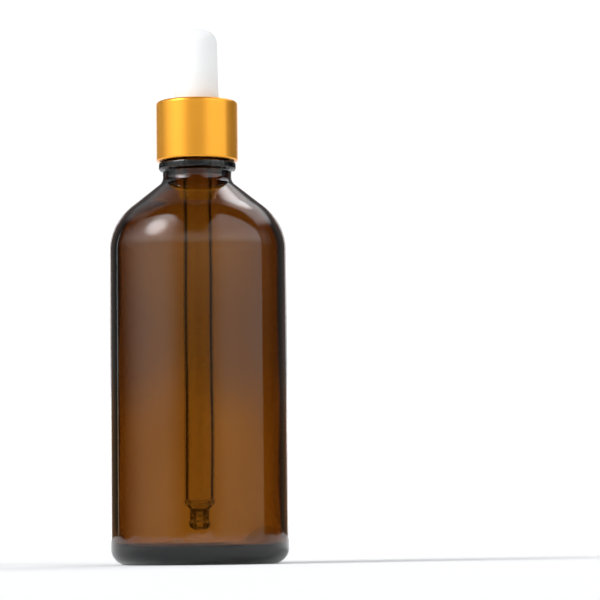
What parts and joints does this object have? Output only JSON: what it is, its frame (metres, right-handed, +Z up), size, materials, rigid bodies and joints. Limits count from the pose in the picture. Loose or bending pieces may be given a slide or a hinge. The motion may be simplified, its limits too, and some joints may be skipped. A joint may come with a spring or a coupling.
{
  "type": "dropper bottle",
  "caption": "Amber glass bottle closed by a metal-collared screw cap that carries a white rubber bulb and a ball-tipped glass pipette.",
  "frame": {"origin": "centre of the foot ring, on the plane the bottle stands on", "axes": "+Z up along the bottle's axis; X and Y are free about it, with the thread's start on +X"},
  "size_m": [0.0445, 0.0444, 0.1348],
  "materials": {
    "amber_glass": "clear amber soda-lime glass, fire-polished",
    "clear_glass": "clear drawn glass tube",
    "white_rubber": "white moulded rubber, matt",
    "cap_plastic": "natural white moulded polypropylene",
    "gold_aluminium": "satin gold anodised"
  },
  "bodies": {
    "bottle": {"glass_bottle": "amber_glass"},
    "dropper": {"pipette": "clear_glass"},
    "bulb": {"rubber_bulb": "white_rubber"},
    "cap": {"inner_cap": "cap_plastic", "collar_shell": "gold_aluminium"}
  },
  "joints": [
    {"name": "dropper_lift", "type": "slide", "parent": "bottle", "child": "dropper", "axis": [0, 0, 1], "range_m": [0, 0.108]},
    {"name": "cap_turn", "type": "hinge", "parent": "dropper", "child": "cap", "pos_m": [0, 0, 0.1], "axis": [0, 0, 1], "continuous": true},
    {"name": "bulb_press", "type": "slide", "parent": "dropper", "child": "bulb", "axis": [0, 0, -1], "range_m": [0, 0.004], "stiffness_N_per_m": 300, "deforming": ["rubber_bulb"]}
  ],
  "couplings": [
    {"joint": "cap_turn", "follows": "dropper_lift", "rad_per_m": 2094.4}
  ]
}
